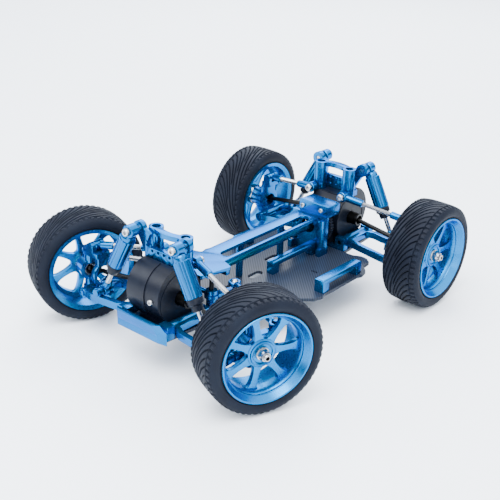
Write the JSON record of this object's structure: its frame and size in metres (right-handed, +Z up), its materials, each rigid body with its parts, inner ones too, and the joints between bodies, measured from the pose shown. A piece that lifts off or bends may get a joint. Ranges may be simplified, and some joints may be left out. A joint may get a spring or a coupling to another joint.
{
  "type": "rc drift car",
  "caption": "Shaft-driven model drift car chassis with coil-less dampers, wide tyres on deep rims, linked steering and independent suspension; no body shell or electrics.",
  "frame": {"origin": "on the ground, midway between the axles, on the centre plane", "axes": "+X forward, +Y to the left of the car, +Z up"},
  "size_m": [0.2335, 0.188, 0.0787],
  "materials": {
    "blue_anodised": "satin anodised",
    "carbon_plate": "woven carbon laminate",
    "black_plastic": "moulded",
    "tyre_rubber": "matte",
    "silver_steel": "polished",
    "black_steel": "black oxide"
  },
  "bodies": {
    "chassis": {"chassis_plate": "carbon_plate", "upper_deck": "blue_anodised", "gear_cases": "black_plastic", "gear_covers": "black_plastic", "arm_mounts": "blue_anodised", "bumper": "blue_anodised", "front_shock_tower": "blue_anodised", "rear_shock_tower": "blue_anodised", "motor_mount": "blue_anodised", "battery_rails": "blue_anodised", "fasteners": "silver_steel"},
    "front_left_lower_arm": {"front_left_lower_arm": "blue_anodised"},
    "front_left_c_hub": {"front_left_c_hub": "blue_anodised"},
    "front_left_knuckle": {"front_left_knuckle": "blue_anodised"},
    "front_left_wheel": {"front_left_tyre": "tyre_rubber", "front_left_rim": "blue_anodised", "front_left_stub_axle": "silver_steel"},
    "front_left_upper_link": {"front_left_upper_link": "blue_anodised"},
    "front_left_shock_body": {"front_left_shock_body": "blue_anodised"},
    "front_left_shock_rod": {"front_left_shock_rod": "silver_steel"},
    "front_left_drive_shaft": {"front_left_drive_shaft": "black_steel"},
    "front_right_lower_arm": {"front_right_lower_arm": "blue_anodised"},
    "front_right_c_hub": {"front_right_c_hub": "blue_anodised"},
    "front_right_knuckle": {"front_right_knuckle": "blue_anodised"},
    "front_right_wheel": {"front_right_tyre": "tyre_rubber", "front_right_rim": "blue_anodised", "front_right_stub_axle": "silver_steel"},
    "front_right_upper_link": {"front_right_upper_link": "blue_anodised"},
    "front_right_shock_body": {"front_right_shock_body": "blue_anodised"},
    "front_right_shock_rod": {"front_right_shock_rod": "silver_steel"},
    "front_right_drive_shaft": {"front_right_drive_shaft": "black_steel"},
    "rear_left_lower_arm": {"rear_left_lower_arm": "blue_anodised"},
    "rear_left_upright": {"rear_left_upright": "blue_anodised"},
    "rear_left_wheel": {"rear_left_tyre": "tyre_rubber", "rear_left_rim": "blue_anodised", "rear_left_stub_axle": "silver_steel"},
    "rear_left_upper_link": {"rear_left_upper_link": "blue_anodised"},
    "rear_left_shock_body": {"rear_left_shock_body": "blue_anodised"},
    "rear_left_shock_rod": {"rear_left_shock_rod": "silver_steel"},
    "rear_left_drive_shaft": {"rear_left_drive_shaft": "black_steel"},
    "rear_right_lower_arm": {"rear_right_lower_arm": "blue_anodised"},
    "rear_right_upright": {"rear_right_upright": "blue_anodised"},
    "rear_right_wheel": {"rear_right_tyre": "tyre_rubber", "rear_right_rim": "blue_anodised", "rear_right_stub_axle": "silver_steel"},
    "rear_right_upper_link": {"rear_right_upper_link": "blue_anodised"},
    "rear_right_shock_body": {"rear_right_shock_body": "blue_anodised"},
    "rear_right_shock_rod": {"rear_right_shock_rod": "silver_steel"},
    "rear_right_drive_shaft": {"rear_right_drive_shaft": "black_steel"},
    "bellcrank_left": {"bellcrank_left": "blue_anodised"},
    "tie_rod_ball_left": {"tie_rod_ball_left": "blue_anodised"},
    "tie_rod_left": {"tie_rod_left": "blue_anodised"},
    "bellcrank_right": {"bellcrank_right": "blue_anodised"},
    "tie_rod_ball_right": {"tie_rod_ball_right": "blue_anodised"},
    "tie_rod_right": {"tie_rod_right": "blue_anodised"},
    "drag_link": {"drag_link": "blue_anodised"},
    "prop_shaft": {"prop_shaft": "blue_anodised", "spur_gear": "black_plastic"},
    "front_differential": {"front_differential": "black_steel"},
    "rear_differential": {"rear_differential": "black_steel"}
  },
  "joints": [
    {"name": "front_left_arm_swing", "type": "hinge", "parent": "chassis", "child": "front_left_lower_arm", "pos_m": [0.081, 0.0155, 0.028], "axis": [1, 0, 0], "range_deg": [-8, 8], "stiffness_Nm_per_rad": 1.5, "springref_deg": -2.29},
    {"name": "front_left_hub_hinge", "type": "hinge", "parent": "front_left_lower_arm", "child": "front_left_c_hub", "pos_m": [0.081, 0.056, 0.024], "axis": [1, 0, 0], "range_deg": [-9.2, 9.2]},
    {"name": "front_left_upper_link_swing", "type": "hinge", "parent": "chassis", "child": "front_left_upper_link", "pos_m": [0.0692, 0.0127, 0.0586], "axis": [1, 0, 0], "range_deg": [-7.4, 7.4]},
    {"name": "front_left_shock_swing", "type": "hinge", "parent": "chassis", "child": "front_left_shock_body", "pos_m": [0.0896, 0.0175, 0.0745], "axis": [1, 0, 0], "range_deg": [-2, 2]},
    {"name": "front_left_shock_slide", "type": "slide", "parent": "front_left_shock_body", "child": "front_left_shock_rod", "axis": [0, 0.467, -0.8843], "range_m": [-0.0034, 0.0034]},
    {"name": "front_left_drive_shaft_swing", "type": "hinge", "parent": "chassis", "child": "front_left_drive_shaft", "pos_m": [0.081, 0.0165, 0.0405], "axis": [1, 0, 0], "range_deg": [-6.9, 6.9]},
    {"name": "front_left_steer", "type": "hinge", "parent": "front_left_c_hub", "child": "front_left_knuckle", "pos_m": [0.081, 0.063, 0.03365], "axis": [0, 0, 1], "range_deg": [-5, 51]},
    {"name": "front_left_wheel_spin", "type": "hinge", "parent": "front_left_knuckle", "child": "front_left_wheel", "pos_m": [0.081, 0.063, 0.03365], "axis": [0.3907, 0.9205, 0], "continuous": true},
    {"name": "front_right_arm_swing", "type": "hinge", "parent": "chassis", "child": "front_right_lower_arm", "pos_m": [0.081, -0.0155, 0.028], "axis": [-1, 0, 0], "range_deg": [-8, 8], "stiffness_Nm_per_rad": 1.5, "springref_deg": -2.29},
    {"name": "front_right_hub_hinge", "type": "hinge", "parent": "front_right_lower_arm", "child": "front_right_c_hub", "pos_m": [0.081, -0.056, 0.024], "axis": [-1, 0, 0], "range_deg": [-9.2, 9.2]},
    {"name": "front_right_upper_link_swing", "type": "hinge", "parent": "chassis", "child": "front_right_upper_link", "pos_m": [0.0692, -0.0127, 0.0586], "axis": [-1, 0, 0], "range_deg": [-7.4, 7.4]},
    {"name": "front_right_shock_swing", "type": "hinge", "parent": "chassis", "child": "front_right_shock_body", "pos_m": [0.0896, -0.0175, 0.0745], "axis": [-1, 0, 0], "range_deg": [-2, 2]},
    {"name": "front_right_shock_slide", "type": "slide", "parent": "front_right_shock_body", "child": "front_right_shock_rod", "axis": [0, -0.467, -0.8843], "range_m": [-0.0034, 0.0034]},
    {"name": "front_right_drive_shaft_swing", "type": "hinge", "parent": "chassis", "child": "front_right_drive_shaft", "pos_m": [0.081, -0.0165, 0.0405], "axis": [-1, 0, 0], "range_deg": [-6.9, 6.9]},
    {"name": "front_right_steer", "type": "hinge", "parent": "front_right_c_hub", "child": "front_right_knuckle", "pos_m": [0.081, -0.063, 0.03365], "axis": [0, 0, 1], "range_deg": [-5, 51]},
    {"name": "front_right_wheel_spin", "type": "hinge", "parent": "front_right_knuckle", "child": "front_right_wheel", "pos_m": [0.081, -0.063, 0.03365], "axis": [0.3907, 0.9205, 0], "continuous": true},
    {"name": "rear_left_arm_swing", "type": "hinge", "parent": "chassis", "child": "rear_left_lower_arm", "pos_m": [-0.081, 0.0155, 0.028], "axis": [1, 0, 0], "range_deg": [-8, 8], "stiffness_Nm_per_rad": 1.5, "springref_deg": -2.29},
    {"name": "rear_left_hub_hinge", "type": "hinge", "parent": "rear_left_lower_arm", "child": "rear_left_upright", "pos_m": [-0.081, 0.056, 0.024], "axis": [1, 0, 0], "range_deg": [-9.2, 9.2]},
    {"name": "rear_left_upper_link_swing", "type": "hinge", "parent": "chassis", "child": "rear_left_upper_link", "pos_m": [-0.0692, 0.0127, 0.0586], "axis": [1, 0, 0], "range_deg": [-7.4, 7.4]},
    {"name": "rear_left_shock_swing", "type": "hinge", "parent": "chassis", "child": "rear_left_shock_body", "pos_m": [-0.0896, 0.0175, 0.0745], "axis": [1, 0, 0], "range_deg": [-2, 2]},
    {"name": "rear_left_shock_slide", "type": "slide", "parent": "rear_left_shock_body", "child": "rear_left_shock_rod", "axis": [0, 0.467, -0.8843], "range_m": [-0.0034, 0.0034]},
    {"name": "rear_left_drive_shaft_swing", "type": "hinge", "parent": "chassis", "child": "rear_left_drive_shaft", "pos_m": [-0.081, 0.0165, 0.0405], "axis": [1, 0, 0], "range_deg": [-6.9, 6.9]},
    {"name": "rear_left_wheel_spin", "type": "hinge", "parent": "rear_left_upright", "child": "rear_left_wheel", "pos_m": [-0.081, 0.071, 0.03365], "axis": [0, 1, 0], "continuous": true},
    {"name": "rear_right_arm_swing", "type": "hinge", "parent": "chassis", "child": "rear_right_lower_arm", "pos_m": [-0.081, -0.0155, 0.028], "axis": [-1, 0, 0], "range_deg": [-8, 8], "stiffness_Nm_per_rad": 1.5, "springref_deg": -2.29},
    {"name": "rear_right_hub_hinge", "type": "hinge", "parent": "rear_right_lower_arm", "child": "rear_right_upright", "pos_m": [-0.081, -0.056, 0.024], "axis": [-1, 0, 0], "range_deg": [-9.2, 9.2]},
    {"name": "rear_right_upper_link_swing", "type": "hinge", "parent": "chassis", "child": "rear_right_upper_link", "pos_m": [-0.0692, -0.0127, 0.0586], "axis": [-1, 0, 0], "range_deg": [-7.4, 7.4]},
    {"name": "rear_right_shock_swing", "type": "hinge", "parent": "chassis", "child": "rear_right_shock_body", "pos_m": [-0.0896, -0.0175, 0.0745], "axis": [-1, 0, 0], "range_deg": [-2, 2]},
    {"name": "rear_right_shock_slide", "type": "slide", "parent": "rear_right_shock_body", "child": "rear_right_shock_rod", "axis": [0, -0.467, -0.8843], "range_m": [-0.0034, 0.0034]},
    {"name": "rear_right_drive_shaft_swing", "type": "hinge", "parent": "chassis", "child": "rear_right_drive_shaft", "pos_m": [-0.081, -0.0165, 0.0405], "axis": [-1, 0, 0], "range_deg": [-6.9, 6.9]},
    {"name": "rear_right_wheel_spin", "type": "hinge", "parent": "rear_right_upright", "child": "rear_right_wheel", "pos_m": [-0.081, -0.071, 0.03365], "axis": [0, 1, 0], "continuous": true},
    {"name": "bellcrank_left_turn", "type": "hinge", "parent": "chassis", "child": "bellcrank_left", "pos_m": [0.0595, 0.0155, 0.0375], "axis": [0, 0, 1], "range_deg": [-5, 51]},
    {"name": "tie_rod_ball_left_turn", "type": "hinge", "parent": "bellcrank_left", "child": "tie_rod_ball_left", "pos_m": [0.04511, 0.01998, 0.0397], "axis": [0, 0, 1], "range_deg": [-51, 5]},
    {"name": "tie_rod_left_swing", "type": "hinge", "parent": "tie_rod_ball_left", "child": "tie_rod_left", "pos_m": [0.04511, 0.01998, 0.0397], "axis": [1, 0, 0], "range_deg": [-6.9, 6.9]},
    {"name": "bellcrank_right_turn", "type": "hinge", "parent": "chassis", "child": "bellcrank_right", "pos_m": [0.0595, -0.0155, 0.0375], "axis": [0, 0, 1], "range_deg": [-5, 51]},
    {"name": "tie_rod_ball_right_turn", "type": "hinge", "parent": "bellcrank_right", "child": "tie_rod_ball_right", "pos_m": [0.04628, -0.00826, 0.0397], "axis": [0, 0, 1], "range_deg": [-51, 5]},
    {"name": "tie_rod_right_swing", "type": "hinge", "parent": "tie_rod_ball_right", "child": "tie_rod_right", "pos_m": [0.04628, -0.00826, 0.0397], "axis": [-1, 0, 0], "range_deg": [-6.9, 6.9]},
    {"name": "drag_link_turn", "type": "hinge", "parent": "bellcrank_left", "child": "drag_link", "pos_m": [0.05029, 0.01941, 0.03], "axis": [0, 0, 1], "range_deg": [-51, 5]},
    {"name": "prop_shaft_spin", "type": "hinge", "parent": "chassis", "child": "prop_shaft", "pos_m": [0, 0, 0.0405], "axis": [1, 0, 0], "continuous": true},
    {"name": "front_differential_spin", "type": "hinge", "parent": "chassis", "child": "front_differential", "pos_m": [0.081, 0, 0.0405], "axis": [0, 1, 0], "continuous": true},
    {"name": "rear_differential_spin", "type": "hinge", "parent": "chassis", "child": "rear_differential", "pos_m": [-0.081, 0, 0.0405], "axis": [0, 1, 0], "continuous": true}
  ],
  "couplings": [
    {"joint": "front_left_hub_hinge", "follows": "front_left_arm_swing", "ratio": -1.1242},
    {"joint": "front_left_upper_link_swing", "follows": "front_left_arm_swing", "ratio": 0.91109},
    {"joint": "front_left_shock_swing", "follows": "front_left_arm_swing", "ratio": 0.20042},
    {"joint": "front_left_shock_slide", "follows": "front_left_arm_swing", "m_per_rad": -0.023456},
    {"joint": "front_left_drive_shaft_swing", "follows": "front_left_arm_swing", "ratio": 0.85054},
    {"joint": "front_left_wheel_spin", "follows": "rear_left_wheel_spin", "ratio": 1},
    {"joint": "front_right_hub_hinge", "follows": "front_right_arm_swing", "ratio": -1.1242},
    {"joint": "front_right_upper_link_swing", "follows": "front_right_arm_swing", "ratio": 0.91109},
    {"joint": "front_right_shock_swing", "follows": "front_right_arm_swing", "ratio": 0.20042},
    {"joint": "front_right_shock_slide", "follows": "front_right_arm_swing", "m_per_rad": -0.023456},
    {"joint": "front_right_drive_shaft_swing", "follows": "front_right_arm_swing", "ratio": 0.85054},
    {"joint": "front_right_steer", "follows": "front_left_steer", "ratio": 1},
    {"joint": "front_right_wheel_spin", "follows": "rear_left_wheel_spin", "ratio": 1},
    {"joint": "rear_left_hub_hinge", "follows": "rear_left_arm_swing", "ratio": -1.1242},
    {"joint": "rear_left_upper_link_swing", "follows": "rear_left_arm_swing", "ratio": 0.91109},
    {"joint": "rear_left_shock_swing", "follows": "rear_left_arm_swing", "ratio": 0.20042},
    {"joint": "rear_left_shock_slide", "follows": "rear_left_arm_swing", "m_per_rad": -0.023456},
    {"joint": "rear_left_drive_shaft_swing", "follows": "rear_left_arm_swing", "ratio": 0.85054},
    {"joint": "rear_right_hub_hinge", "follows": "rear_right_arm_swing", "ratio": -1.1242},
    {"joint": "rear_right_upper_link_swing", "follows": "rear_right_arm_swing", "ratio": 0.91109},
    {"joint": "rear_right_shock_swing", "follows": "rear_right_arm_swing", "ratio": 0.20042},
    {"joint": "rear_right_shock_slide", "follows": "rear_right_arm_swing", "m_per_rad": -0.023456},
    {"joint": "rear_right_drive_shaft_swing", "follows": "rear_right_arm_swing", "ratio": 0.85054},
    {"joint": "rear_right_wheel_spin", "follows": "rear_left_wheel_spin", "ratio": 1},
    {"joint": "bellcrank_left_turn", "follows": "front_left_steer", "ratio": 1},
    {"joint": "tie_rod_ball_left_turn", "follows": "front_left_steer", "ratio": -1},
    {"joint": "tie_rod_left_swing", "follows": "front_left_arm_swing", "ratio": 0.82304},
    {"joint": "bellcrank_right_turn", "follows": "front_left_steer", "ratio": 1},
    {"joint": "tie_rod_ball_right_turn", "follows": "front_left_steer", "ratio": -1},
    {"joint": "tie_rod_right_swing", "follows": "front_right_arm_swing", "ratio": 0.85356},
    {"joint": "drag_link_turn", "follows": "front_left_steer", "ratio": -1},
    {"joint": "prop_shaft_spin", "follows": "rear_left_wheel_spin", "ratio": 3},
    {"joint": "front_differential_spin", "follows": "rear_left_wheel_spin", "ratio": 1},
    {"joint": "rear_differential_spin", "follows": "rear_left_wheel_spin", "ratio": 1}
  ]
}
